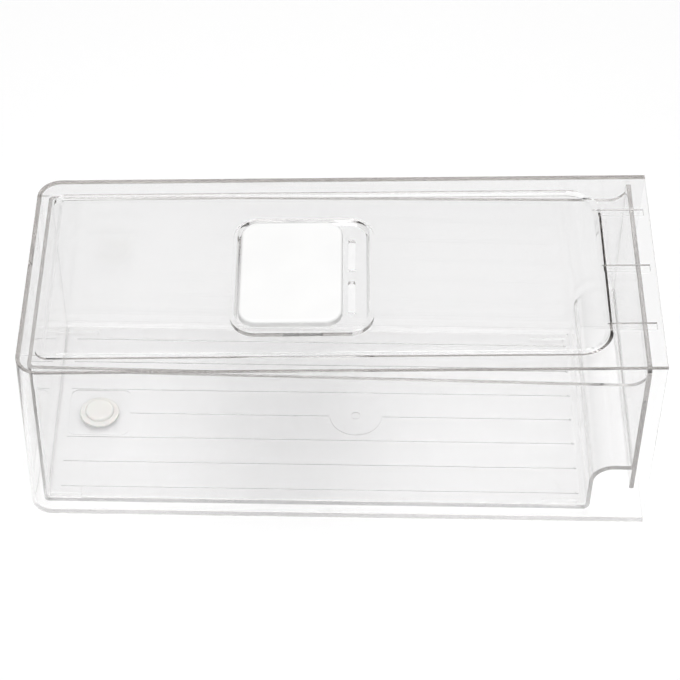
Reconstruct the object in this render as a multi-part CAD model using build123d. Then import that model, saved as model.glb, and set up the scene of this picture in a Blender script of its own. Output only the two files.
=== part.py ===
from build123d import *

import math
import os

# A clear fridge drawer unit: an open-fronted case with a recessed lid and a
# sliding vent cover, and a pull-out drawer with a drain plug in its floor.
#
# Frame: millimetres, +Z up. The origin is the middle of the case's underside.
# +X points out of the case's mouth, along the way the drawer pulls out.

# ---- Case: one clear moulding, open at its +X end ---------------------------
CASE_LENGTH = 320.0
CASE_WIDTH = 140.0
CASE_HEIGHT_BACK = 107.2
CASE_HEIGHT_FRONT = 118.1
CASE_WALL = 2.2
CASE_FLOOR = 2.0
CASE_CORNER_RADIUS = 12.0     # upright corners at the back, seen from above
CASE_BOTTOM_RADIUS = 0.8
CASE_BOTTOM_INNER_RADIUS = 1.6
CASE_TOP_EDGE_RADIUS = 0.5
MOUTH_EDGE_RADIUS = 0.4

# ---- Stacking recess in the lid ---------------------------------------------
RECESS_DEPTH = 1.5
RECESS_RAMP = 2.4             # how far the sloped step reaches inwards
RECESS_UNDER_RAMP = 1.9       # the underside's own step, outside the top's
RECESS_SIDE_MARGIN = 12.1
RECESS_BACK_MARGIN = 11.2
RECESS_FRONT_MARGIN = 26.3
RECESS_FRONT_RADIUS = 16.0
RECESS_BACK_RADIUS = 4.0
BACK_STRIP_DEPTH = 0.6        # the lid behind the recess lies this much lower

# ---- Three shallow flutes from the recess towards the mouth -----------------
FLUTE_COUNT = 3
FLUTE_PITCH = 41.2
FLUTE_WIDTH = 4.8
FLUTE_DEPTH = 0.9
FLUTE_EDGE_RADIUS = 0.5
FLUTE_MOUTH_GAP = 3.0

# ---- Vent pocket in the recess, with two slots through its floor ------------
VENT_BACK_X = -53.5
VENT_DEPTH = 2.5
VENT_RAMP = 1.6
VENT_CORNER_RADIUS = 11.0
SLOT_WIDTH = 3.6              # along X
SLOT_LENGTH = 22.6            # across the case
SLOT_SPACING = 30.4           # between the two slots' middles
SLOT_FRONT_GAP = 7.3          # from the pocket's front edge
SLOT_CORNER_RADIUS = 1.2

# ---- Sliding vent cover, with two hooked legs -------------------------------
COVER_LENGTH = 52.4
COVER_WIDTH = 72.4
COVER_HEIGHT = 3.8
COVER_SKIN = 1.6
COVER_CORNER_RADIUS = 9.0
COVER_TOP_RADIUS = 1.5
COVER_GAP = 0.15              # running gap above the pocket's floor
COVER_BACK_GAP = 0.4          # from the foot of the pocket's back slope
COVER_FRONT_GAP = 1.1         # to the foot of the front slope, when slid open
COVER_SIDE_GAP = 1.5          # to the foot of each side slope
COVER_TRAVEL = 11.0
LEG_LENGTH = 8.0              # along X
LEG_THICKNESS = 2.0
LEG_SPACING = 56.0
LEG_GAP = 0.3                 # round the leg in its guide slot
HOOK_REACH = 0.9
HOOK_HEIGHT = 1.1
HOOK_GAP = 0.25

# ---- Drawer: one clear moulding ---------------------------------------------
DRAWER_WALL = 1.9
DRAWER_FLOOR = 1.7
DRAWER_BACK_GAP = 3.5         # to the case's back wall, at the rim
DRAWER_BACK_LEAN = 1.5        # the back wall stands this much further in below
DRAWER_FRONT_INSET = 6.55     # front plate behind the case's mouth
DRAWER_SIDE_GAP_BOTTOM = 5.0
DRAWER_SIDE_GAP_RIM_BACK = 5.2
DRAWER_SIDE_GAP_RIM_FRONT = 0.8
DRAWER_CORNER_RADIUS = 3.0
INNER_CORNER_SHARE = 0.5      # of the wall, that the inner corners are tighter
DRAWER_BOTTOM_RADIUS = 1.0
DRAWER_INNER_BOTTOM_RADIUS = 2.0
DRAWER_HEIGHT = 99.5          # underside to rim
FRONT_EDGE_RADIUS = 5.0       # under the front wall
FRONT_EDGE_INNER_RADIUS = 3.1
RIM_RISE_RADIUS = 10.0        # where the rim sweeps up to the front plate
RIM_RISE_HEIGHT = 5.1         # the sweep meets the plate this far above the rim
RIM_RISE_RUN = 3.2

# ---- Front plate and the finger recess below it -----------------------------
PLATE_THICKNESS = 2.4
PLATE_RISE = 12.4             # above the rim
PLATE_LEAN = 0.85             # the plate's top stands this much further in
PLATE_EDGE_RADIUS = 0.8
PLATE_CORNER_RADIUS = 4.0     # its two top corners
FINGER_DEPTH = 21.45          # front plate's face back to the tub's front wall
FINGER_HEIGHT = 34.0          # tub's underside to the shelf's underside
FINGER_RADIUS = 10.4
PULL_LIP_DROP = 15.3          # the plate hangs this far below the shelf
SHELF_INNER_RADIUS = 1.5      # where the plate stands on the shelf

# ---- Four skid feet under the drawer ----------------------------------------
FOOT_HEIGHT = 0.5
FOOT_GAP = 0.1
FOOT_LENGTH = 18.0
FOOT_WIDTH = 2.6
FOOT_SIDE_INSET = 4.4
FOOT_END_INSET = 1.2
FOOT_EDGE_RADIUS = 0.3

# ---- Floor ribs and the gate pad --------------------------------------------
RIB_COUNT = 7
RIB_PITCH = 17.3
RIB_WIDTH = 1.2
RIB_HEIGHT = 0.4
RIB_EDGE_RADIUS = 0.3
RIB_BACK_GAP = 6.0
RIB_FRONT_GAP = 0.6
PAD_X = 9.9
PAD_DIAMETER = 28.0
PAD_HEIGHT = 0.4
PAD_EDGE_RADIUS = 0.3
PAD_RIB_GAP = 0.5             # the middle rib stops this far from the pad
GATE_DIAMETER = 5.0
GATE_DEPTH = 0.5

# ---- Drain plug: soft white stopper in a sunken square seat -----------------
PLUG_BACK_INSET = 25.9        # from the drawer's back face, at the rim
SEAT_SIZE = 32.4
SEAT_DEPTH = 0.6
SEAT_CORNER_RADIUS = 4.0
SEAT_RIB_GAP = 0.4            # the middle rib stops this far from the seat
FLANGE_DIAMETER = 21.0
FLANGE_THICKNESS = 1.2
FLANGE_EDGE_RADIUS = 0.5
CAP_DIAMETER = 15.3
CAP_HEIGHT = 2.0
CAP_EDGE_RADIUS = 1.1
STEM_DIAMETER = 12.0
STEM_CLEARANCE = 0.05         # radial, in its hole
STEM_LENGTH = 1.4
STEM_CHAMFER = 0.3
STEM_BORE_DIAMETER = 7.6
STEM_BORE_DEPTH = 2.0

# ---- Worked out from the sizes above ----------------------------------------
CASE_BACK_X = -CASE_LENGTH / 2
CASE_MOUTH_X = CASE_LENGTH / 2
CASE_HALF_WIDTH = CASE_WIDTH / 2
INNER_HALF_WIDTH = CASE_HALF_WIDTH - CASE_WALL
LID_SLOPE = (CASE_HEIGHT_FRONT - CASE_HEIGHT_BACK) / CASE_LENGTH
LID_ANGLE = math.degrees(math.atan(LID_SLOPE))
LID_MIDDLE_HEIGHT = (CASE_HEIGHT_FRONT + CASE_HEIGHT_BACK) / 2
CUT_PAST = 2.0                # how far a cutting shape reaches past a face

VENT_FLOOR = -(RECESS_DEPTH + VENT_DEPTH)
VENT_LENGTH = COVER_BACK_GAP + COVER_LENGTH + COVER_TRAVEL + COVER_FRONT_GAP + 2 * VENT_RAMP
VENT_WIDTH = COVER_WIDTH + 2 * (COVER_SIDE_GAP + VENT_RAMP)
VENT_FRONT_X = VENT_BACK_X + VENT_LENGTH
COVER_BACK_X = VENT_BACK_X + VENT_RAMP + COVER_BACK_GAP
COVER_MIDDLE_X = COVER_BACK_X + COVER_LENGTH / 2

DRAWER_BACK_X = CASE_BACK_X + CASE_WALL + DRAWER_BACK_GAP
DRAWER_FACE_X = CASE_MOUTH_X - DRAWER_FRONT_INSET
PLATE_BACK_X = DRAWER_FACE_X - PLATE_THICKNESS
FRONT_WALL_X = DRAWER_FACE_X - FINGER_DEPTH
DRAWER_BOTTOM = CASE_FLOOR + FOOT_GAP + FOOT_HEIGHT
DRAWER_FLOOR_TOP = DRAWER_BOTTOM + DRAWER_FLOOR
RIM_HEIGHT = DRAWER_BOTTOM + DRAWER_HEIGHT
PLATE_TOP = RIM_HEIGHT + PLATE_RISE
PLATE_TOP_X = DRAWER_FACE_X - PLATE_LEAN
SHELF_UNDERSIDE = DRAWER_BOTTOM + FINGER_HEIGHT
SHELF_TOP = SHELF_UNDERSIDE + DRAWER_WALL
LIP_BOTTOM = SHELF_UNDERSIDE - PULL_LIP_DROP
PLUG_X = DRAWER_BACK_X + PLUG_BACK_INSET
SEAT_LEVEL = DRAWER_FLOOR_TOP - SEAT_DEPTH

LID = Plane(
    origin=(0, 0, LID_MIDDLE_HEIGHT),
    x_dir=(math.cos(math.radians(LID_ANGLE)), 0, math.sin(math.radians(LID_ANGLE))),
    z_dir=(-math.sin(math.radians(LID_ANGLE)), 0, math.cos(math.radians(LID_ANGLE))),
)


def plan(back_x, front_x, half_width, back_radius=0.0, front_radius=0.0):
    """A rectangle seen from above, with its back and front corners rounded."""
    shape = Pos((back_x + front_x) / 2, 0) * Rectangle(front_x - back_x, 2 * half_width)
    if back_radius > 0:
        shape = fillet(shape.vertices().group_by(Axis.X)[0], back_radius)
    if front_radius > 0:
        shape = fillet(shape.vertices().group_by(Axis.X)[-1], front_radius)
    return shape


def across(points, rounded=()):
    """A side view given as X, Z points, drawn out over more than the width.

    Each rounded entry is a point of the outline and the radius of its corner.
    """
    outline = make_face(Plane.XZ * Polyline(*points, close=True))
    for (x, z), radius in rounded:
        corner = outline.vertices().sort_by_distance((x, 0, z))[0]
        outline = fillet(corner, radius)
    return extrude(outline, CASE_WIDTH, both=True)


def sloped_form(foot, mouth, bottom, top):
    """Solid in the lid's plane that widens from foot to mouth, then goes straight up."""
    sloped = loft([Pos(0, 0, bottom) * foot, Pos(0, 0, top) * mouth], ruled=True)
    above = Pos(0, 0, top) * extrude(mouth, CUT_PAST - top)
    return LID * (sloped + above)


def pocket(back_x, front_x, half_width, back_radius, front_radius, top, bottom, ramp):
    """A sloped-sided pocket in the lid's own plane, from top down to bottom."""
    mouth = plan(back_x, front_x, half_width, back_radius, front_radius)
    foot = plan(back_x + ramp, front_x - ramp, half_width - ramp,
                back_radius - ramp, front_radius - ramp)
    return sloped_form(foot, mouth, bottom, top)


def lid_block(back_x, front_x, half_width, back_radius, front_radius, bottom):
    """Upright-sided block in the lid's plane, reaching from bottom up past the lid."""
    shape = plan(back_x, front_x, half_width, back_radius, front_radius)
    return LID * (Pos(0, 0, bottom) * extrude(shape, CUT_PAST - bottom))


def case_outside():
    """Outer form of the case: rounded plan under a lid that rises to the mouth."""
    footprint = plan(CASE_BACK_X, CASE_MOUTH_X, CASE_HALF_WIDTH, CASE_CORNER_RADIUS)
    body = extrude(footprint, CASE_HEIGHT_FRONT)
    side_view = across([
        (CASE_BACK_X, 0),
        (CASE_MOUTH_X, 0),
        (CASE_MOUTH_X, CASE_HEIGHT_FRONT),
        (CASE_BACK_X, CASE_HEIGHT_BACK),
    ])
    body = body & side_view
    bottom_edges = body.faces().sort_by(Axis.Z)[0].edges().sort_by(Axis.X)[:-1]
    body = fillet(bottom_edges, CASE_BOTTOM_RADIUS)
    top_edges = body.faces().sort_by(Axis.Z)[-1].edges().sort_by(Axis.X)[:-1]
    return fillet(top_edges, CASE_TOP_EDGE_RADIUS)


def case_inside():
    """Room inside the case, one wall in from the outside, open past the mouth."""
    back_x = CASE_BACK_X + CASE_WALL
    front_x = CASE_MOUTH_X + CUT_PAST
    footprint = plan(back_x, front_x, INNER_HALF_WIDTH, CASE_CORNER_RADIUS - CASE_WALL)
    room = extrude(footprint, CASE_HEIGHT_FRONT + CUT_PAST)
    lid_drop = CASE_WALL / math.cos(math.radians(LID_ANGLE))
    back_top = LID_MIDDLE_HEIGHT + LID_SLOPE * back_x - lid_drop
    front_top = LID_MIDDLE_HEIGHT + LID_SLOPE * front_x - lid_drop
    side_view = across([
        (back_x, CASE_FLOOR),
        (front_x, CASE_FLOOR),
        (front_x, front_top),
        (back_x, back_top),
    ])
    room = room & side_view
    floor_edges = room.faces().sort_by(Axis.Z)[0].edges().sort_by(Axis.X)[:-1]
    room = fillet(floor_edges, CASE_BOTTOM_INNER_RADIUS)
    step_back_x = CASE_BACK_X + RECESS_BACK_MARGIN - CASE_WALL
    step_front_x = CASE_MOUTH_X - RECESS_FRONT_MARGIN
    step_half_width = CASE_HALF_WIDTH - RECESS_SIDE_MARGIN
    step_back_radius = RECESS_BACK_RADIUS + CASE_WALL
    step_foot = plan(step_back_x, step_front_x, step_half_width,
                     step_back_radius, RECESS_FRONT_RADIUS)
    step_top = plan(step_back_x, step_front_x + RECESS_UNDER_RAMP,
                    step_half_width + RECESS_UNDER_RAMP,
                    step_back_radius, RECESS_FRONT_RADIUS + RECESS_UNDER_RAMP)
    under_recess = sloped_form(step_foot, step_top, -(RECESS_DEPTH + CASE_WALL), -CASE_WALL)
    under_vent = lid_block(
        VENT_BACK_X - CASE_WALL,
        VENT_FRONT_X + CASE_WALL,
        VENT_WIDTH / 2 + CASE_WALL,
        VENT_CORNER_RADIUS + CASE_WALL,
        VENT_CORNER_RADIUS + CASE_WALL,
        VENT_FLOOR - CASE_WALL,
    )
    return room - under_recess - under_vent


def recess_cut():
    """Stacking recess with sloped sides, and the slightly lowered strip behind it."""
    front_x = CASE_MOUTH_X - RECESS_FRONT_MARGIN
    half_width = CASE_HALF_WIDTH - RECESS_SIDE_MARGIN
    recess = pocket(CASE_BACK_X + RECESS_BACK_MARGIN, front_x, half_width,
                    RECESS_BACK_RADIUS, RECESS_FRONT_RADIUS, 0, -RECESS_DEPTH, RECESS_RAMP)
    strip = lid_block(CASE_BACK_X - CUT_PAST, front_x - RECESS_FRONT_RADIUS, half_width,
                      0, 0, -BACK_STRIP_DEPTH)
    return recess + strip


def flute_cuts():
    """Shallow flutes, each running from the recess's slope almost to the mouth."""
    back_x = CASE_MOUTH_X - RECESS_FRONT_MARGIN - RECESS_RAMP
    front_x = CASE_MOUTH_X - FLUTE_MOUTH_GAP
    length = front_x - back_x
    depth = FLUTE_DEPTH + CUT_PAST
    block = Box(length, FLUTE_WIDTH, depth, align=(Align.MIN, Align.CENTER, Align.MIN))
    block = fillet(block.edges().group_by(Axis.Z)[0], FLUTE_EDGE_RADIUS)
    first_y = -FLUTE_PITCH * (FLUTE_COUNT - 1) / 2
    return [
        LID * Pos(back_x, first_y + FLUTE_PITCH * index, -FLUTE_DEPTH) * block
        for index in range(FLUTE_COUNT)
    ]


def vent_cuts():
    """Vent pocket, its two air slots, and the guide slots of the cover's legs."""
    cuts = [pocket(VENT_BACK_X, VENT_FRONT_X, VENT_WIDTH / 2, VENT_CORNER_RADIUS,
                   VENT_CORNER_RADIUS, -RECESS_DEPTH, VENT_FLOOR, VENT_RAMP)]
    through = CASE_WALL + 2 * CUT_PAST
    slot_face = fillet(Rectangle(SLOT_WIDTH, SLOT_LENGTH).vertices(), SLOT_CORNER_RADIUS)
    slot = extrude(slot_face, -through)
    slot_x = VENT_FRONT_X - SLOT_FRONT_GAP - SLOT_WIDTH / 2
    guide_length = LEG_LENGTH + COVER_TRAVEL + 2 * LEG_GAP
    guide = extrude(Rectangle(guide_length, LEG_THICKNESS + 2 * LEG_GAP), -through)
    guide_x = COVER_MIDDLE_X + COVER_TRAVEL / 2
    for side in (-1, 1):
        cuts.append(LID * Pos(slot_x, side * SLOT_SPACING / 2, VENT_FLOOR + CUT_PAST) * slot)
        cuts.append(LID * Pos(guide_x, side * LEG_SPACING / 2, VENT_FLOOR + CUT_PAST) * guide)
    return cuts


def outer_case():
    """The case, with its recessed lid, vent pocket, slots and flutes."""
    case = case_outside() - case_inside() - recess_cut()
    case = case - flute_cuts() - vent_cuts()
    mouth = case.faces().sort_by(Axis.X)[-1]
    return fillet(mouth.edges(), MOUTH_EDGE_RADIUS)


def vent_cover():
    """Shallow white cover that slides over the air slots, held by two hooked legs."""
    outline = plan(COVER_BACK_X, COVER_BACK_X + COVER_LENGTH, COVER_WIDTH / 2,
                   COVER_CORNER_RADIUS, COVER_CORNER_RADIUS)
    cover = extrude(outline, COVER_HEIGHT)
    cover = fillet(cover.faces().sort_by(Axis.Z)[-1].edges(), COVER_TOP_RADIUS)
    inner_radius = COVER_CORNER_RADIUS - COVER_SKIN
    hollow = plan(COVER_BACK_X + COVER_SKIN, COVER_BACK_X + COVER_LENGTH - COVER_SKIN,
                  COVER_WIDTH / 2 - COVER_SKIN, inner_radius, inner_radius)
    hollow_depth = COVER_HEIGHT - COVER_SKIN
    cover = cover - extrude(hollow, hollow_depth)
    drop = COVER_GAP + CASE_WALL + HOOK_GAP
    leg = Box(LEG_LENGTH, LEG_THICKNESS, hollow_depth + drop + HOOK_HEIGHT,
              align=(Align.CENTER, Align.CENTER, Align.MAX))
    for side in (-1, 1):
        y = side * LEG_SPACING / 2
        cover = cover + Pos(COVER_MIDDLE_X, y, hollow_depth) * leg
        hook_y = y + side * (LEG_THICKNESS + HOOK_REACH) / 2
        hook = Box(LEG_LENGTH, HOOK_REACH, HOOK_HEIGHT,
                   align=(Align.CENTER, Align.CENTER, Align.MAX))
        cover = cover + Pos(COVER_MIDDLE_X, hook_y, -drop) * hook
    return LID * Pos(0, 0, VENT_FLOOR + COVER_GAP) * cover


def side_half_widths(height):
    """Half-widths of the drawer's outside, back and front, at a height."""
    rise = (height - DRAWER_BOTTOM) / DRAWER_HEIGHT
    low = INNER_HALF_WIDTH - DRAWER_SIDE_GAP_BOTTOM
    back = low + (DRAWER_SIDE_GAP_BOTTOM - DRAWER_SIDE_GAP_RIM_BACK) * rise
    front = low + (DRAWER_SIDE_GAP_BOTTOM - DRAWER_SIDE_GAP_RIM_FRONT) * rise
    return back, front


def tub_section(height, inset):
    """Outline of the leaning drawer walls at a height, drawn in by an inset."""
    back_x = DRAWER_BACK_X + DRAWER_BACK_LEAN * (RIM_HEIGHT - height) / DRAWER_HEIGHT
    front_x = DRAWER_FACE_X + CUT_PAST
    back, front = side_half_widths(height)
    outline = Polyline(
        (back_x + inset, -back + inset),
        (front_x, -front + inset),
        (front_x, front - inset),
        (back_x + inset, back - inset),
        close=True,
    )
    return Pos(0, 0, height) * make_face(outline)


def tub(bottom, top, inset, corner_radius, bottom_radius):
    """Solid form of the drawer between two heights, with its corners rounded."""
    body = loft([tub_section(bottom, inset), tub_section(top, inset)], ruled=True)
    uprights = body.edges().filter_by(lambda edge: edge.bounding_box().size.Z > (top - bottom) / 2)
    body = fillet(uprights.sort_by(Axis.X)[:2], corner_radius)
    floor_edges = body.faces().sort_by(Axis.Z)[0].edges().sort_by(Axis.X)[:-1]
    return fillet(floor_edges, bottom_radius)


def plate_corner_cuts():
    """What is cut away to round the front plate's two top corners."""
    half_width = side_half_widths(PLATE_TOP - PLATE_CORNER_RADIUS)[1]
    side = PLATE_CORNER_RADIUS + CUT_PAST
    cuts = []
    for sign in (-1, 1):
        y = sign * (half_width - PLATE_CORNER_RADIUS)
        z = PLATE_TOP - PLATE_CORNER_RADIUS
        block = Box(FINGER_DEPTH, side, side,
                    align=(Align.CENTER, Align.MIN if sign > 0 else Align.MAX, Align.MIN))
        round_bar = Rot(0, 90, 0) * Cylinder(PLATE_CORNER_RADIUS, FINGER_DEPTH)
        cuts.append(Pos(DRAWER_FACE_X, y, z) * (block - round_bar))
    return cuts


def floor_ribs():
    """Low ribs along the drawer's floor; the middle one stops at the plug and pad."""
    back_x = DRAWER_BACK_X + DRAWER_BACK_LEAN + DRAWER_WALL + RIB_BACK_GAP
    front_x = FRONT_WALL_X - DRAWER_WALL - FRONT_EDGE_INNER_RADIUS - RIB_FRONT_GAP
    pad_back = PAD_X - PAD_DIAMETER / 2 - PAD_RIB_GAP
    pad_front = PAD_X + PAD_DIAMETER / 2 + PAD_RIB_GAP
    seat_front = PLUG_X + SEAT_SIZE / 2 + SEAT_RIB_GAP
    ribs = []
    for index in range(RIB_COUNT):
        y = RIB_PITCH * (index - (RIB_COUNT - 1) / 2)
        runs = [(back_x, front_x)]
        if abs(y) < SEAT_SIZE / 2:
            runs = [(seat_front, pad_back), (pad_front, front_x)]
        for start, end in runs:
            rib = Box(end - start, RIB_WIDTH, RIB_HEIGHT + DRAWER_FLOOR / 2,
                      align=(Align.MIN, Align.CENTER, Align.MIN))
            rib = fillet(rib.edges().group_by(Axis.Z)[-1], RIB_EDGE_RADIUS)
            ribs.append(Pos(start, y, DRAWER_FLOOR_TOP - DRAWER_FLOOR / 2) * rib)
    return ribs


def gate_pad():
    """Round pad in the middle of the drawer's floor, with a dimple in its centre."""
    pad = Cylinder(PAD_DIAMETER / 2, PAD_HEIGHT + DRAWER_FLOOR / 2,
                   align=(Align.CENTER, Align.CENTER, Align.MIN))
    pad = fillet(pad.edges().group_by(Axis.Z)[-1], PAD_EDGE_RADIUS)
    return Pos(PAD_X, 0, DRAWER_FLOOR_TOP - DRAWER_FLOOR / 2) * pad


def gate_dimple():
    """The dimple itself, sunk into the pad's top."""
    dimple = Cylinder(GATE_DIAMETER / 2, GATE_DEPTH + CUT_PAST,
                      align=(Align.CENTER, Align.CENTER, Align.MIN))
    return Pos(PAD_X, 0, DRAWER_FLOOR_TOP + PAD_HEIGHT - GATE_DEPTH) * dimple


def plug_seat():
    """The sunken square in the floor that water runs to, with the drain hole."""
    outline = fillet(Rectangle(SEAT_SIZE, SEAT_SIZE).vertices(), SEAT_CORNER_RADIUS)
    sunk = Pos(0, 0, SEAT_LEVEL) * extrude(outline, SEAT_DEPTH + CUT_PAST)
    hole = Cylinder(STEM_DIAMETER / 2 + STEM_CLEARANCE, 2 * DRAWER_FLOOR + CUT_PAST)
    return Pos(PLUG_X, 0, 0) * (sunk + Pos(0, 0, DRAWER_BOTTOM) * hole)


def skid_feet():
    """Four low feet under the drawer that slide on the case's floor."""
    foot = Box(FOOT_LENGTH, FOOT_WIDTH, FOOT_HEIGHT + DRAWER_FLOOR / 2,
               align=(Align.CENTER, Align.CENTER, Align.MIN))
    foot = fillet(foot.edges().group_by(Axis.Z)[0], FOOT_EDGE_RADIUS)
    back_x = DRAWER_BACK_X + DRAWER_BACK_LEAN + FOOT_END_INSET + FOOT_LENGTH / 2
    front_x = FRONT_WALL_X - FRONT_EDGE_RADIUS - FOOT_END_INSET - FOOT_LENGTH / 2
    side_y = INNER_HALF_WIDTH - DRAWER_SIDE_GAP_BOTTOM - FOOT_SIDE_INSET - FOOT_WIDTH / 2
    return [
        Pos(x, side * side_y, DRAWER_BOTTOM - FOOT_HEIGHT) * foot
        for x in (back_x, front_x)
        for side in (-1, 1)
    ]


def drawer_outside():
    """Outer form: tub, finger recess under the shelf, front plate with its pull lip."""
    rise_x = PLATE_TOP_X - PLATE_THICKNESS - RIM_RISE_RUN
    side_view = across([
        (DRAWER_BACK_X - CUT_PAST, DRAWER_BOTTOM),
        (FRONT_WALL_X, DRAWER_BOTTOM),
        (FRONT_WALL_X, SHELF_UNDERSIDE),
        (PLATE_BACK_X, SHELF_UNDERSIDE),
        (PLATE_BACK_X, LIP_BOTTOM),
        (DRAWER_FACE_X, LIP_BOTTOM),
        (PLATE_TOP_X, PLATE_TOP),
        (PLATE_TOP_X - PLATE_THICKNESS, PLATE_TOP),
        (PLATE_TOP_X - PLATE_THICKNESS, RIM_HEIGHT + RIM_RISE_HEIGHT),
        (rise_x, RIM_HEIGHT),
        (DRAWER_BACK_X - CUT_PAST, RIM_HEIGHT),
    ], [
        ((FRONT_WALL_X, DRAWER_BOTTOM), FRONT_EDGE_RADIUS),
        ((FRONT_WALL_X, SHELF_UNDERSIDE), FINGER_RADIUS),
        ((rise_x, RIM_HEIGHT), RIM_RISE_RADIUS),
    ])
    outside = side_view & tub(DRAWER_BOTTOM, PLATE_TOP + CUT_PAST, 0,
                              DRAWER_CORNER_RADIUS, DRAWER_BOTTOM_RADIUS)
    lengthwise = outside.edges().filter_by(Axis.Y)
    plate_edges = [
        lengthwise.sort_by_distance((x, 0, z))[0]
        for x, z in (
            (PLATE_BACK_X, LIP_BOTTOM),
            (DRAWER_FACE_X, LIP_BOTTOM),
            (PLATE_TOP_X, PLATE_TOP),
            (PLATE_TOP_X - PLATE_THICKNESS, PLATE_TOP),
        )
    ]
    return fillet(plate_edges, PLATE_EDGE_RADIUS) - plate_corner_cuts()


def drawer_inside():
    """Room inside the drawer, over its floor and over the shelf behind the plate."""
    plate_foot_x = DRAWER_FACE_X - PLATE_LEAN * (SHELF_TOP - LIP_BOTTOM) / (PLATE_TOP - LIP_BOTTOM)
    side_view = across([
        (DRAWER_BACK_X, DRAWER_FLOOR_TOP),
        (FRONT_WALL_X - DRAWER_WALL, DRAWER_FLOOR_TOP),
        (FRONT_WALL_X - DRAWER_WALL, SHELF_TOP),
        (plate_foot_x - PLATE_THICKNESS, SHELF_TOP),
        (PLATE_TOP_X - PLATE_THICKNESS, PLATE_TOP),
        (DRAWER_BACK_X, PLATE_TOP),
    ], [
        ((FRONT_WALL_X - DRAWER_WALL, DRAWER_FLOOR_TOP), FRONT_EDGE_INNER_RADIUS),
        ((FRONT_WALL_X - DRAWER_WALL, SHELF_TOP), FINGER_RADIUS + DRAWER_WALL),
        ((plate_foot_x - PLATE_THICKNESS, SHELF_TOP), SHELF_INNER_RADIUS),
    ])
    inside = tub(DRAWER_FLOOR_TOP, PLATE_TOP + CUT_PAST, DRAWER_WALL,
                 DRAWER_CORNER_RADIUS - DRAWER_WALL * INNER_CORNER_SHARE,
                 DRAWER_INNER_BOTTOM_RADIUS)
    return inside & side_view


def drawer():
    """The drawer: tub, finger recess, front plate with its lip, ribs, pad and feet."""
    body = drawer_outside() - drawer_inside()
    body = body + floor_ribs() + gate_pad() + skid_feet()
    return body - gate_dimple() - plug_seat()


def drain_plug():
    """Soft stopper: a flange on its seat, a raised cap and a hollow stem."""
    upright = (Align.CENTER, Align.CENTER, Align.MIN)
    flange = Cylinder(FLANGE_DIAMETER / 2, FLANGE_THICKNESS, align=upright)
    flange = fillet(flange.edges().group_by(Axis.Z)[-1], FLANGE_EDGE_RADIUS)
    cap = Cylinder(CAP_DIAMETER / 2, FLANGE_THICKNESS + CAP_HEIGHT, align=upright)
    cap = fillet(cap.edges().group_by(Axis.Z)[-1], CAP_EDGE_RADIUS)
    stem = Pos(0, 0, -STEM_LENGTH) * Cylinder(
        STEM_DIAMETER / 2, STEM_LENGTH + FLANGE_THICKNESS, align=upright)
    stem = chamfer(stem.edges().group_by(Axis.Z)[0], STEM_CHAMFER)
    bore = Pos(0, 0, -STEM_LENGTH) * Cylinder(
        STEM_BORE_DIAMETER / 2, STEM_BORE_DEPTH, align=upright)
    return Pos(PLUG_X, 0, SEAT_LEVEL) * (flange + cap + stem - bore)


PIECES = {
    "outer_case": outer_case,
    "vent_cover": vent_cover,
    "drawer": drawer,
    "drain_plug": drain_plug,
}

os.makedirs("parts", exist_ok=True)
for name, make in PIECES.items():
    export_step(make(), f"parts/{name}.step")
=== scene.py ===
"""Looks for a clear fridge drawer unit: its case, pull-out drawer, vent cover and drain plug.

Frame: metres, +Z up. The origin is the middle of the case's underside, and +X points
out of the case's mouth, along the way the drawer pulls out.
"""

from __future__ import annotations

import logging
import math
from dataclasses import dataclass
from enum import Enum
from typing import Any, Iterable

import bmesh
import bpy
from mathutils import Matrix, Vector

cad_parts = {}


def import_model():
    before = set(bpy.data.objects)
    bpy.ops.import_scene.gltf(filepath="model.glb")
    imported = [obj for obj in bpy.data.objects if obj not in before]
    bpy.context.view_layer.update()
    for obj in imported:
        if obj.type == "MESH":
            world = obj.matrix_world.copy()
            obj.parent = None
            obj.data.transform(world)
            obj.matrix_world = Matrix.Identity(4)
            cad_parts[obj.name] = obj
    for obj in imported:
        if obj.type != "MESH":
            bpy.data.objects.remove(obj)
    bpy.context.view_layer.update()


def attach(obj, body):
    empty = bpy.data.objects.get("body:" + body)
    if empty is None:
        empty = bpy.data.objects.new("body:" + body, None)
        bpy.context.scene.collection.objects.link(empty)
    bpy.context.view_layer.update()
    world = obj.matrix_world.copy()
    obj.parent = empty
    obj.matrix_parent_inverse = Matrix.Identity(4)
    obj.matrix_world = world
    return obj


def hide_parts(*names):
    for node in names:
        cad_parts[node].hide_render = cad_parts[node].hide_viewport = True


LOG = logging.getLogger("fridge_drawer")
MM = 0.001
MERGE_DISTANCE = 0.001 * MM
FLAT_BEND = math.radians(0.05)
Colour = tuple[float, float, float]
Point = tuple[float, float, float]


class Piece(Enum):
    """The CAD nodes, each with the body it rides on and the name of a material slot."""

    CASE = ("outer_case", "case", "clear_case")
    DRAWER = ("drawer", "drawer", "clear_drawer")
    COVER = ("vent_cover", "vent_cover", "white_cover")
    PLUG = ("drain_plug", "drain_plug", "white_plug")

    @property
    def node(self) -> str:
        """Name of the CAD node."""
        return self.value[0]

    @property
    def body(self) -> str:
        """Name of the body that the piece rides on."""
        return self.value[1]

    @property
    def slot(self) -> str:
        """Name of the material slot."""
        return self.value[2]


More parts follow.
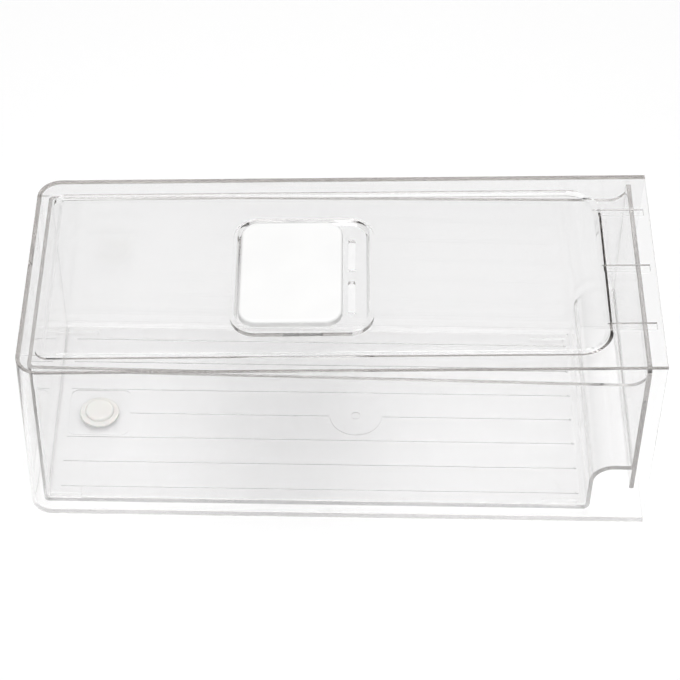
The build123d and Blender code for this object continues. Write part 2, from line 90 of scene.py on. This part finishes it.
class Number:
    """A number socket in a node tree that can be used in Python expressions."""

    def __init__(self, tree: "Tree", socket: bpy.types.NodeSocket) -> None:
        """Keeps the socket and the tree that its expressions add nodes to.

        Args:
            tree: The tree builder.
            socket: The output socket that carries the number.
        """
        self.tree = tree
        self.socket = socket

    def _maths(self, operation: str, first: Any, second: Any) -> "Number":
        """Adds one Math node.

        Args:
            operation: The Math node's operation.
            first: First operand, a Number or a plain number.
            second: Second operand, a Number or a plain number.

        Returns:
            The node's result.
        """
        return self.tree.node("ShaderNodeMath", {"operation": operation}, {0: first, 1: second})

    def __add__(self, other: Any) -> "Number":
        """Sum."""
        return self._maths("ADD", self, other)

    __radd__ = __add__

    def __truediv__(self, other: Any) -> "Number":
        """Quotient."""
        return self._maths("DIVIDE", self, other)

    def __sub__(self, other: Any) -> "Number":
        """Difference."""
        return self._maths("SUBTRACT", self, other)

    def __rsub__(self, other: Any) -> "Number":
        """Difference with the operands the other way round."""
        return self._maths("SUBTRACT", other, self)

    def __mul__(self, other: Any) -> "Number":
        """Product."""
        return self._maths("MULTIPLY", self, other)

    __rmul__ = __mul__

    def __pow__(self, other: Any) -> "Number":
        """Power."""
        return self._maths("POWER", self, other)

    def at_most(self, other: Any) -> "Number":
        """The smaller of the two numbers."""
        return self._maths("MINIMUM", self, other)

    def at_least(self, other: Any) -> "Number":
        """The larger of the two numbers."""
        return self._maths("MAXIMUM", self, other)


class Tree:
    """Builds the nodes of one material, world or geometry tree."""

    def __init__(self, nodes: bpy.types.NodeTree) -> None:
        """Starts with an empty tree.

        Args:
            nodes: The node tree to fill.
        """
        self.nodes = nodes
        nodes.nodes.clear()

    def node(
        self,
        kind: str,
        settings: dict[str, Any] | None = None,
        inputs: dict[Any, Any] | None = None,
        output: Any = 0,
    ) -> Number:
        """Adds any node.

        Args:
            kind: The node's type name.
            settings: Its settings, set first. "stops" is a ramp's list of (place, colour).
            inputs: Values or links of its sockets, by name or number.
            output: Name or number of the output that is wanted.

        Returns:
            The wanted output. Its node is at .socket.node.
        """
        made = self.nodes.nodes.new(kind)
        for name, value in (settings or {}).items():
            if name == "stops":
                self._stops(made, value)
            else:
                setattr(made, name, value)
        for name, value in (inputs or {}).items():
            self.feed(made.inputs[name], value)
        if not made.outputs:
            return Number(self, None)
        return Number(self, made.outputs[output])

    def feed(self, socket: bpy.types.NodeSocket, value: Any) -> None:
        """Sets or links one input socket.

        Args:
            socket: The input socket.
            value: A Number to link, or a plain value to set.
        """
        if isinstance(value, Number):
            self.nodes.links.new(value.socket, socket)
        elif isinstance(value, tuple) and len(value) == 3 and socket.type == "RGBA":
            socket.default_value = (*value, 1.0)
        else:
            socket.default_value = value

    @staticmethod
    def _stops(ramp: bpy.types.Node, stops: Iterable[tuple[float, Colour]]) -> None:
        """Replaces a colour ramp's stops.

        Args:
            ramp: The ramp node.
            stops: Its stops, as (place, colour).
        """
        elements = ramp.color_ramp.elements
        while len(elements) > 1:
            elements.remove(elements[-1])
        for index, (place, colour) in enumerate(stops):
            element = elements[0] if index == 0 else elements.new(place)
            element.position = place
            element.color = (*colour, 1.0)


def new_material(name: str) -> tuple[bpy.types.Material, Tree]:
    """A material with an empty node tree.

    Args:
        name: The material's name.

    Returns:
        The material and its tree builder.
    """
    material = bpy.data.materials.new(name)
    material.use_nodes = True
    return material, Tree(material.node_tree)


@dataclass(frozen=True)
class ClearPlastic:
    """Clear moulded plastic: see-through walls that darken where they are seen edge on.

    The moulding's flow gives a faint unevenness along +X, and handling leaves smudges.
    Everything lower than the underside's height has a light frosting.
    """

    name: str
    tint: Colour = (0.956, 0.956, 0.957)
    depth_tint: Colour = (0.62, 0.60, 0.585)
    depth_density: float = 16.0
    refraction: float = 1.49
    roughness: float = 0.012
    smudge: float = 0.03
    smudge_scale: float = 34.0
    smudge_detail: float = 4.0
    smudge_blend: float = 0.6
    smudge_contrast: float = 3.0
    flow_stretch: Point = (0.3, 1.0, 1.0)
    flow_scale: float = 22.0
    flow_detail: float = 1.0
    flow_blend: float = 0.4
    flow_height: float = 0.012 * MM
    flow_strength: float = 0.25
    underside: float = 0.0
    frost_edge: float = 0.15 * MM
    frost_fade: float = 0.1 * MM
    frost_roughness: float = 0.45
    shadow_tint: Colour = (0.97, 0.97, 0.97)

    def material(self) -> bpy.types.Material:
        """Builds the finish.

        Returns:
            The material.
        """
        material, tree = new_material(self.name)
        place = tree.node("ShaderNodeTexCoord", output="Object")
        stretched = tree.node(
            "ShaderNodeMapping", {}, {"Vector": place, "Scale": self.flow_stretch}
        )
        flow = tree.node(
            "ShaderNodeTexNoise",
            {},
            {
                "Vector": stretched,
                "Scale": self.flow_scale,
                "Detail": self.flow_detail,
                "Roughness": self.flow_blend,
            },
        )
        smudges = tree.node(
            "ShaderNodeTexNoise",
            {},
            {
                "Vector": place,
                "Scale": self.smudge_scale,
                "Detail": self.smudge_detail,
                "Roughness": self.smudge_blend,
            },
        )
        uneven = tree.node(
            "ShaderNodeBump",
            {},
            {"Strength": self.flow_strength, "Distance": self.flow_height, "Height": flow},
        )
        height = tree.node("ShaderNodeSeparateXYZ", {}, {"Vector": place}, "Z")
        above_frost = self.underside + self.frost_edge
        frost = ((above_frost - height) / self.frost_fade).at_least(0.0).at_most(1.0)
        worn = smudges ** self.smudge_contrast * self.smudge + self.roughness
        rough = worn + frost * self.frost_roughness
        plastic = tree.node(
            "ShaderNodeBsdfPrincipled",
            {},
            {
                "Base Color": self.tint,
                "Roughness": rough,
                "IOR": self.refraction,
                "Transmission Weight": 1.0,
                "Normal": uneven,
            },
        )
        open_to_light = tree.node("ShaderNodeBsdfTransparent", {}, {"Color": self.shadow_tint})
        lamp_ray = tree.node("ShaderNodeLightPath", output="Is Shadow Ray")
        surface = tree.node(
            "ShaderNodeMixShader", {}, {0: lamp_ray, 1: plastic, 2: open_to_light}
        )
        depth = tree.node(
            "ShaderNodeVolumeAbsorption",
            {},
            {"Color": self.depth_tint, "Density": self.depth_density},
        )
        tree.node("ShaderNodeOutputMaterial", {}, {"Surface": surface, "Volume": depth})
        return material


@dataclass(frozen=True)
class SolidPlastic:
    """Solid moulded plastic or soft rubber, with a fine moulded grain."""

    name: str
    light: Colour
    dark: Colour
    roughness: float
    roughness_spread: float
    grain_scale: float
    grain_height: float
    coat: float = 0.0
    coat_roughness: float = 0.15
    soft_depth: float = 0.0
    soft_reach: float = 2.0 * MM
    cloud_scale: float = 45.0
    cloud_detail: float = 3.0
    cloud_range: tuple[float, float] = (0.35, 0.65)
    grain_detail: float = 2.0
    grain_blend: float = 0.5
    grain_strength: float = 0.5

    def material(self) -> bpy.types.Material:
        """Builds the finish.

        Returns:
            The material.
        """
        material, tree = new_material(self.name)
        place = tree.node("ShaderNodeTexCoord", output="Object")
        clouds = tree.node(
            "ShaderNodeTexNoise",
            {},
            {"Vector": place, "Scale": self.cloud_scale, "Detail": self.cloud_detail},
        )
        grain = tree.node(
            "ShaderNodeTexNoise",
            {},
            {
                "Vector": place,
                "Scale": self.grain_scale,
                "Detail": self.grain_detail,
                "Roughness": self.grain_blend,
            },
        )
        stops = list(zip(self.cloud_range, (self.dark, self.light)))
        colour = tree.node("ShaderNodeValToRGB", {"stops": stops}, {"Fac": clouds})
        bump = tree.node(
            "ShaderNodeBump",
            {},
            {"Strength": self.grain_strength, "Distance": self.grain_height, "Height": grain},
        )
        worn = clouds * self.roughness_spread + (self.roughness - self.roughness_spread / 2)
        surface = tree.node(
            "ShaderNodeBsdfPrincipled",
            {},
            {
                "Base Color": colour,
                "Roughness": worn,
                "Coat Weight": self.coat,
                "Coat Roughness": self.coat_roughness,
                "Subsurface Weight": self.soft_depth,
                "Subsurface Scale": self.soft_reach,
                "Normal": bump,
            },
        )
        tree.node("ShaderNodeOutputMaterial", {}, {"Surface": surface})
        return material


CASE_PLASTIC = ClearPlastic("clear_case_plastic")
DRAWER_PLASTIC = ClearPlastic("clear_drawer_plastic", depth_density=13.0, underside=2.6 * MM)
COVER_PLASTIC = SolidPlastic(
    "white_cover_plastic",
    light=(0.985, 0.985, 0.98),
    dark=(0.965, 0.965, 0.96),
    roughness=0.38,
    roughness_spread=0.08,
    grain_scale=900.0,
    grain_height=0.02 * MM,
    coat=0.1,
)
PLUG_RUBBER = SolidPlastic(
    "white_plug_rubber",
    light=(0.71, 0.70, 0.675),
    dark=(0.67, 0.66, 0.63),
    roughness=0.55,
    roughness_spread=0.1,
    grain_scale=1200.0,
    grain_height=0.02 * MM,
    soft_depth=0.1,
)


def flat_regions(work: bmesh.types.BMesh, tolerance: float) -> list[tuple[float, Vector]]:
    """Groups neighbouring faces that lie in one plane, each face carrying its group's number.

    Args:
        work: The mesh. Each face gets its group's number in the layer named group.
        tolerance: Largest bend inside a group, in radians.

    Returns:
        Area and normal of each group.
    """
    groups: list[tuple[float, Vector]] = []
    owner: dict[int, int] = {}
    for seed in work.faces:
        if seed.index in owner:
            continue
        number = len(groups)
        owner[seed.index] = number
        area, pending = 0.0, [seed]
        while pending:
            face = pending.pop()
            area += face.calc_area()
            for edge in face.edges:
                for other in edge.link_faces:
                    if other.index in owner:
                        continue
                    if other.normal.angle(seed.normal, math.pi) < tolerance:
                        owner[other.index] = number
                        pending.append(other)
        groups.append((area, seed.normal.copy()))
    layer = work.faces.layers.int.new("group")
    for face in work.faces:
        face[layer] = owner[face.index]
    return groups


def flowing_normals(work: bmesh.types.BMesh, smooth_angle: float) -> list[Vector]:
    """Corner normals that stay flat on flat walls and turn only along the roundings.

    Each corner's normal is weighted by the areas of the flat regions that meet there,
    so a wide wall keeps its own normal where a narrow rounding joins it.

    Args:
        work: The mesh, with its faces' normals up to date.
        smooth_angle: Edges that bend less than this, in degrees, are rounded over.

    Returns:
        One normal for each corner, in the order of the faces' corners.
    """
    work.faces.ensure_lookup_table()
    work.faces.index_update()
    groups = flat_regions(work, FLAT_BEND)
    layer = work.faces.layers.int["group"]
    limit = math.radians(smooth_angle)
    for edge in work.edges:
        edge.smooth = len(edge.link_faces) == 2 and edge.calc_face_angle(math.pi) < limit
    at_corner: dict[tuple[int, int], Vector] = {}
    for vertex in work.verts:
        faces = list(vertex.link_faces)
        while faces:
            fan, pending = [], [faces.pop()]
            while pending:
                face = pending.pop()
                fan.append(face)
                for edge in face.edges:
                    if edge.smooth and vertex in edge.verts:
                        for other in edge.link_faces:
                            if other in faces:
                                faces.remove(other)
                                pending.append(other)
            normal = Vector()
            for number in {face[layer] for face in fan}:
                normal += groups[number][1] * groups[number][0]
            for face in fan:
                at_corner[(face.index, vertex.index)] = normal.normalized()
    return [
        at_corner[(face.index, corner.vert.index)] for face in work.faces for corner in face.loops
    ]


def merged_copy(piece: Piece, name: str, smooth_angle: float) -> bpy.types.Object:
    """A closed copy of a CAD node, with smooth shading on its curved faces.

    Args:
        piece: The CAD node.
        name: The new object's name.
        smooth_angle: Edges that bend less than this, in degrees, are shaded smooth.

    Returns:
        The new object, which stands for the node.
    """
    mesh = bpy.data.meshes.new(name)
    work = bmesh.new()
    work.from_mesh(bpy.data.objects[piece.node].data)
    bmesh.ops.remove_doubles(work, verts=work.verts, dist=MERGE_DISTANCE)
    bmesh.ops.dissolve_degenerate(work, edges=work.edges, dist=MERGE_DISTANCE)
    bmesh.ops.triangulate(work, faces=work.faces)
    work.normal_update()
    work.verts.index_update()
    for face in work.faces:
        face.smooth = True
    normals = flowing_normals(work, smooth_angle)
    work.to_mesh(mesh)
    work.free()
    mesh.normals_split_custom_set(normals)
    copy = bpy.data.objects.new(name, mesh)
    bpy.context.scene.collection.objects.link(copy)
    return copy


def place_piece(obj: bpy.types.Object, piece: Piece, material: bpy.types.Material) -> None:
    """Dresses a finished piece and puts it on its body in place of its CAD node.

    Args:
        obj: The finished mesh object.
        piece: The CAD node it stands for.
        material: Its finish.
    """
    obj.data.materials.clear()
    obj.data.materials.append(material)
    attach(obj, piece.body)
    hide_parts(piece.node)
    LOG.info("%s: %d faces, rides on %s", obj.name, len(obj.data.polygons), piece.body)


@dataclass
class OuterCase:
    """The clear case with its recessed lid."""

    finish: ClearPlastic = CASE_PLASTIC
    smooth_angle: float = 25.0

    def build(self) -> bpy.types.Object:
        """Makes the case."""
        return merged_copy(Piece.CASE, "clear_outer_case", self.smooth_angle)

    def dress(self, obj: bpy.types.Object) -> None:
        """Gives the case its finish and its body."""
        place_piece(obj, Piece.CASE, self.finish.material())


@dataclass
class Drawer:
    """The clear pull-out drawer."""

    finish: ClearPlastic = DRAWER_PLASTIC
    smooth_angle: float = 25.0

    def build(self) -> bpy.types.Object:
        """Makes the drawer."""
        return merged_copy(Piece.DRAWER, "clear_drawer", self.smooth_angle)

    def dress(self, obj: bpy.types.Object) -> None:
        """Gives the drawer its finish and its body."""
        place_piece(obj, Piece.DRAWER, self.finish.material())


@dataclass
class RibEndPips:
    """Small moulded pips where the drawer's floor ribs end, made by Geometry Nodes."""

    count: int = 7
    pitch: float = 17.3 * MM
    end_x: float = 126.4 * MM
    floor_top: float = 4.3 * MM
    radius: float = 0.9 * MM
    segments: int = 20
    rings: int = 10
    finish: ClearPlastic = DRAWER_PLASTIC

    def tree(self, material: bpy.types.Material) -> tuple[bpy.types.NodeTree, dict[str, str]]:
        """Builds the node tree that sets the pips out in a row.

        Args:
            material: The pips' finish.

        Returns:
            The tree, and the identifier of each named input.
        """
        group = bpy.data.node_groups.new("rib_end_pips", "GeometryNodeTree")
        names = ("Count", "Pitch", "End X", "Floor Top", "Radius")
        kinds = ("NodeSocketInt",) + ("NodeSocketFloat",) * 4
        sockets = {}
        for name, kind in zip(names, kinds):
            made = group.interface.new_socket(name=name, in_out="INPUT", socket_type=kind)
            sockets[name] = made.identifier
        group.interface.new_socket(
            name="Geometry", in_out="OUTPUT", socket_type="NodeSocketGeometry"
        )
        tree = Tree(group)
        count, pitch, end_x, floor_top, radius = (
            tree.node("NodeGroupInput", output=name) for name in names
        )
        first = {"X": end_x, "Y": (count - 1.0) * pitch * -0.5, "Z": floor_top}
        row = tree.node(
            "GeometryNodeMeshLine",
            {"mode": "OFFSET"},
            {
                "Count": count,
                "Start Location": tree.node("ShaderNodeCombineXYZ", {}, first),
                "Offset": tree.node("ShaderNodeCombineXYZ", {}, {"Y": pitch}),
            },
        )
        pip = tree.node(
            "GeometryNodeMeshUVSphere",
            {},
            {"Segments": self.segments, "Rings": self.rings, "Radius": radius},
        )
        pips = tree.node("GeometryNodeInstanceOnPoints", {}, {"Points": row, "Instance": pip})
        real = tree.node("GeometryNodeRealizeInstances", {}, {"Geometry": pips})
        dressed = tree.node(
            "GeometryNodeSetMaterial", {}, {"Geometry": real, "Material": material}
        )
        tree.node("NodeGroupOutput", {}, {"Geometry": dressed})
        return group, sockets

    def build(self) -> bpy.types.Object:
        """Makes the row of pips as one plain mesh."""
        obj = bpy.data.objects.new("rib_end_pips", bpy.data.meshes.new("rib_end_pips"))
        bpy.context.scene.collection.objects.link(obj)
        group, sockets = self.tree(self.finish.material())
        modifier = obj.modifiers.new("pips", "NODES")
        modifier.node_group = group
        sizes = (self.count, self.pitch, self.end_x, self.floor_top, self.radius)
        for identifier, value in zip(sockets.values(), sizes):
            modifier[identifier] = value
        made = obj.evaluated_get(bpy.context.evaluated_depsgraph_get())
        mesh = bpy.data.meshes.new_from_object(made)
        obj.modifiers.remove(modifier)
        obj.data = mesh
        for face in mesh.polygons:
            face.use_smooth = True
        return obj

    def dress(self, obj: bpy.types.Object) -> None:
        """Puts the pips on the drawer."""
        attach(obj, Piece.DRAWER.body)
        LOG.info("%s: %d pips on the drawer's floor", obj.name, self.count)


@dataclass
class VentCover:
    """The white sliding cover over the air slots."""

    finish: SolidPlastic = COVER_PLASTIC
    smooth_angle: float = 35.0

    def build(self) -> bpy.types.Object:
        """Makes the cover."""
        return merged_copy(Piece.COVER, "white_vent_cover", self.smooth_angle)

    def dress(self, obj: bpy.types.Object) -> None:
        """Gives the cover its finish and its body."""
        place_piece(obj, Piece.COVER, self.finish.material())


@dataclass
class DrainPlug:
    """The soft white stopper in the drawer's floor."""

    finish: SolidPlastic = PLUG_RUBBER
    smooth_angle: float = 35.0

    def build(self) -> bpy.types.Object:
        """Makes the plug."""
        return merged_copy(Piece.PLUG, "white_drain_plug", self.smooth_angle)

    def dress(self, obj: bpy.types.Object) -> None:
        """Gives the plug its finish and its body."""
        place_piece(obj, Piece.PLUG, self.finish.material())


@dataclass(frozen=True)
class SoftBox:
    """A rectangular soft lamp."""

    name: str
    place: Point
    size: tuple[float, float]
    power: float

    def hang(self, aim: Vector) -> None:
        """Adds the lamp to the scene.

        Args:
            aim: The point that it shines at.
        """
        data = bpy.data.lights.new(self.name, "AREA")
        data.shape = "RECTANGLE"
        data.size, data.size_y = self.size
        data.energy = self.power
        lamp = bpy.data.objects.new(self.name, data)
        lamp.location = self.place
        lamp.rotation_euler = (aim - Vector(self.place)).to_track_quat("-Z", "Y").to_euler()
        bpy.context.scene.collection.objects.link(lamp)


SOFT_BOXES = (
    SoftBox("overhead_soft_box", (0.0, 0.0, 1.5), (1.4, 1.4), 13.5),
    SoftBox("front_soft_box", (-0.3, -1.5, 0.75), (1.0, 0.6), 6.0),
)


@dataclass
class Studio:
    """Camera at the photograph's angle, pale floor and plain soft light.

    Angles are in degrees, lens and sensor in millimetres and the rest in metres.
    """

    lens: float = 124.30
    sensor: float = 36.0
    elevation: float = 46.189
    yaw: float = -0.751
    roll: float = 1.429
    distance: float = 1.23226
    look_at: Point = (0.0, 0.0011, 0.060)
    shift: tuple[float, float] = (0.0013, 0.0004)
    view_depth: float = 50.0
    floor_radius: float = 6.0
    floor_segments: int = 96
    floor_drop: float = 0.3 * MM
    floor_colour: Colour = (0.62, 0.62, 0.62)
    floor_roughness: float = 0.9
    floor_glow: float = 0.42
    fade_start: float = 0.6
    fade_length: float = 1.6
    sky_top: float = 0.50
    sky_low: float = 0.06
    sky_full_height: float = 0.75
    soft_boxes: tuple[SoftBox, ...] = SOFT_BOXES
    lamp_aim: Point = (0.0, 0.0, 0.05)
    bounces: int = 72

    def camera(self) -> None:
        """Sets the camera up from the fitted angles."""
        e, a, r = (math.radians(v) for v in (self.elevation, self.yaw, self.roll))
        back = Vector((math.sin(a) * math.cos(e), -math.cos(a) * math.cos(e), math.sin(e)))
        right = Vector((math.cos(a), math.sin(a), 0.0))
        up = back.cross(right)
        turned_right = right * math.cos(r) + up * math.sin(r)
        turned_up = up * math.cos(r) - right * math.sin(r)
        data = bpy.data.cameras.new("photo_camera")
        data.sensor_width = self.sensor
        data.lens = self.lens
        data.shift_x, data.shift_y = self.shift
        data.clip_end = self.view_depth
        camera = bpy.data.objects.new("photo_camera", data)
        axes = Matrix((turned_right, turned_up, back)).transposed().to_4x4()
        axes.translation = Vector(self.look_at) + back * self.distance
        camera.matrix_world = axes
        bpy.context.scene.collection.objects.link(camera)
        bpy.context.scene.camera = camera

    def floor(self) -> None:
        """Lays a wide pale floor.

        It looks white to the camera and through the plastic, still shows the shadow, and
        brightens with distance for camera rays alone, so the background stays white.
        """
        mesh = bpy.data.meshes.new("studio_floor")
        work = bmesh.new()
        bmesh.ops.create_circle(
            work, cap_ends=True, segments=self.floor_segments, radius=self.floor_radius
        )
        for vertex in work.verts:
            vertex.co.z = -self.floor_drop
        work.to_mesh(mesh)
        work.free()
        floor = bpy.data.objects.new("studio_floor", mesh)
        bpy.context.scene.collection.objects.link(floor)
        material, tree = new_material("pale_floor")
        material.cycles.emission_sampling = "NONE"
        matt = {
            "Base Color": self.floor_colour,
            "Roughness": self.floor_roughness,
            "Specular IOR Level": 0.0,
        }
        lit = tree.node("ShaderNodeBsdfPrincipled", {}, matt)
        place = tree.node("ShaderNodeTexCoord", output="Object")
        away = tree.node("ShaderNodeVectorMath", {"operation": "LENGTH"}, {0: place}, "Value")
        far = ((away - self.fade_start) / self.fade_length).at_least(0.0).at_most(1.0)
        straight = tree.node("ShaderNodeLightPath", output="Is Camera Ray")
        level = far * straight * (1.0 - self.floor_glow) + self.floor_glow
        glow = {"Emission Color": level, "Emission Strength": 1.0}
        white = tree.node("ShaderNodeBsdfPrincipled", {}, {**matt, **glow})
        surface = tree.node(
            "ShaderNodeMixShader", {}, {0: self._seen_rays(tree), 1: lit, 2: white}
        )
        tree.node("ShaderNodeOutputMaterial", {}, {"Surface": surface})
        mesh.materials.append(material)

    @staticmethod
    def _seen_rays(tree: Tree) -> Number:
        """1 for the rays that look at the background straight, in gloss or through plastic."""
        seen = tree.node("ShaderNodeLightPath", output="Is Camera Ray")
        gloss = tree.node("ShaderNodeLightPath", output="Is Glossy Ray")
        through = tree.node("ShaderNodeLightPath", output="Is Transmission Ray")
        return seen.at_least(gloss).at_least(through)

    def sky(self) -> None:
        """A soft sky, grey at the horizon and white overhead where it is seen through plastic."""
        world = bpy.data.worlds.new("soft_sky")
        bpy.context.scene.world = world
        world.use_nodes = True
        tree = Tree(world.node_tree)
        place = tree.node("ShaderNodeTexCoord", output="Generated")
        height = tree.node("ShaderNodeSeparateXYZ", {}, {"Vector": place}, "Z")
        rise = (height / self.sky_full_height).at_least(0.0).at_most(1.0)
        through = tree.node("ShaderNodeLightPath", output="Is Transmission Ray")
        top = through * (1.0 - self.sky_top) + self.sky_top
        straight = tree.node("ShaderNodeLightPath", output="Is Camera Ray")
        seen = (rise * (top - self.sky_low) + self.sky_low).at_least(straight)
        background = tree.node("ShaderNodeBackground", {}, {"Color": seen, "Strength": 1.0})
        tree.node("ShaderNodeOutputWorld", {}, {"Surface": background})

    def lamps(self) -> None:
        """Hangs one soft box overhead and one on the camera's side."""
        for box in self.soft_boxes:
            box.hang(Vector(self.lamp_aim))

    def set_up(self) -> None:
        """Builds the whole studio."""
        self.camera()
        self.floor()
        self.sky()
        self.lamps()
        scene = bpy.context.scene
        scene.view_settings.view_transform = "Standard"
        scene.cycles.max_bounces = self.bounces
        scene.cycles.glossy_bounces = self.bounces
        scene.cycles.transmission_bounces = self.bounces
        scene.cycles.transparent_max_bounces = self.bounces
        LOG.info("studio: camera, floor, sky and lamps are in place")


def main() -> None:
    """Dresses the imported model."""
    logging.basicConfig(level=logging.INFO, format="%(name)s: %(message)s")
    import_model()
    Studio().set_up()
    for maker in (OuterCase(), Drawer(), RibEndPips(), VentCover(), DrainPlug()):
        maker.dress(maker.build())


if __name__ == "__main__":
    main()
